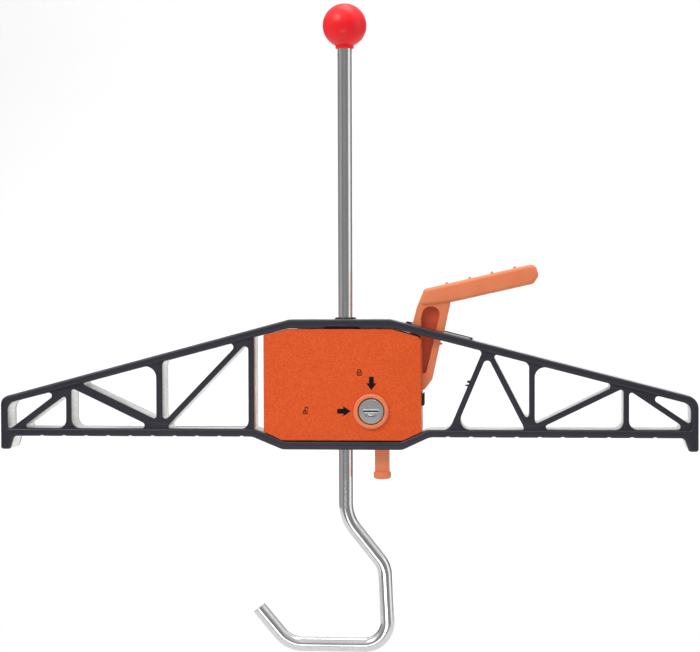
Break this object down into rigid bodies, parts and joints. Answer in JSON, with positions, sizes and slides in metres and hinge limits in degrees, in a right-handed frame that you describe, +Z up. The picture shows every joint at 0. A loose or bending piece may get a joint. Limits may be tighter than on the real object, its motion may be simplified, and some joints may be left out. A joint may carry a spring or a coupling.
{
  "type": "steering wheel to pedal lock",
  "caption": "Truss beam that lies across a steering wheel, with a sliding hooked rod to a pedal, a squeeze lever, a release tab and a key lock.",
  "frame": {"origin": "on the rod's axis, level with the undersides of the beam's two arms, where the steering wheel's rim bears", "axes": "+X right along the beam as seen from the lock's face, +Y away from the lock's face through the beam, +Z up the rod towards its ball knob"},
  "size_m": [0.5, 0.0316, 0.4667],
  "materials": {
    "cover": "satin moulded",
    "aluminium": "satin",
    "plate_orange": "fine grain",
    "orange": "satin moulded",
    "rod_steel": "polished, drawn along its length",
    "knob_red": "gloss",
    "black": "satin",
    "lock_zinc": "satin plated",
    "plate_steel": "ground",
    "spring_steel": "drawn wire",
    "screw_zinc": "zinc plated"
  },
  "bodies": {
    "beam": {"frame_core": "aluminium", "front_cover": "cover", "back_cover": "cover", "cover_screw_1": "screw_zinc", "cover_screw_2": "screw_zinc", "cover_screw_3": "screw_zinc", "cover_screw_4": "screw_zinc", "cover_screw_5": "screw_zinc", "cover_screw_6": "screw_zinc", "cover_screw_7": "screw_zinc", "cover_screw_8": "screw_zinc", "cover_screw_9": "screw_zinc", "housing": "orange", "front_plate": "plate_orange", "housing_screw_1": "screw_zinc", "housing_screw_2": "screw_zinc", "housing_screw_3": "screw_zinc", "housing_screw_4": "screw_zinc", "top_tie_screw_1": "screw_zinc", "top_tie_screw_2": "screw_zinc", "bottom_tie_screw_1": "screw_zinc", "bottom_tie_screw_2": "screw_zinc", "lock_ring": "orange", "lock_barrel": "lock_zinc", "lock_nut": "plate_steel", "upper_rod_bush": "black", "lower_rod_bush": "black", "lever_pivot_pin": "rod_steel", "slot_bezel": "black", "side_slot_pad": "black", "drive_spring": "spring_steel", "brake_spring": "spring_steel"},
    "knob": {"ball_knob": "knob_red"},
    "hook_rod": {"rod": "rod_steel"},
    "lever": {"trigger_lever": "orange"},
    "drive": {"drive_plate": "plate_steel"},
    "brake": {"brake_plate": "plate_steel"},
    "release": {"release_tab": "orange"},
    "plug": {"lock_plug": "lock_zinc", "lock_cam": "plate_steel", "cam_clip": "spring_steel"},
    "shutter": {"keyway_shutter": "plate_steel"}
  },
  "joints": [
    {"name": "rod_slide", "type": "slide", "parent": "beam", "child": "knob", "axis": [0, 0, 1], "range_m": [-0.19, 0.034]},
    {"name": "rod_turn", "type": "hinge", "parent": "knob", "child": "hook_rod", "pos_m": [0, 0, 0], "axis": [0, 0, 1], "continuous": true},
    {"name": "lever_squeeze", "type": "hinge", "parent": "beam", "child": "lever", "pos_m": [0.046, 0, 0.042], "axis": [0, 1, 0], "range_deg": [0, 23], "stiffness_Nm_per_rad": 0.8, "springref_deg": -11.46},
    {"name": "drive_lift", "type": "slide", "parent": "beam", "child": "drive", "axis": [0, 0, 1], "range_m": [0, 0.0152], "deforming": ["drive_spring"]},
    {"name": "release_push", "type": "slide", "parent": "beam", "child": "release", "axis": [0, 0, 1], "range_m": [0, 0.0048], "stiffness_N_per_m": 800, "springref_m": -0.003},
    {"name": "brake_tilt", "type": "hinge", "parent": "beam", "child": "brake", "pos_m": [-0.02, 0, 0.0068], "axis": [0, -1, 0], "range_deg": [0, 6.2]},
    {"name": "key_turn", "type": "hinge", "parent": "beam", "child": "plug", "pos_m": [0.0193, 0, 0.0185], "axis": [0, 1, 0], "range_deg": [0, 90]},
    {"name": "shutter_swing", "type": "hinge", "parent": "plug", "child": "shutter", "pos_m": [0.0193, -0.01385, 0.0178], "axis": [1, 0, 0], "range_deg": [0, 60], "stiffness_Nm_per_rad": 0.002, "springref_deg": -17.19}
  ],
  "couplings": [
    {"joint": "drive_lift", "follows": "lever_squeeze", "m_per_rad": 0.0345},
    {"joint": "brake_tilt", "follows": "release_push", "rad_per_m": 21.8}
  ]
}
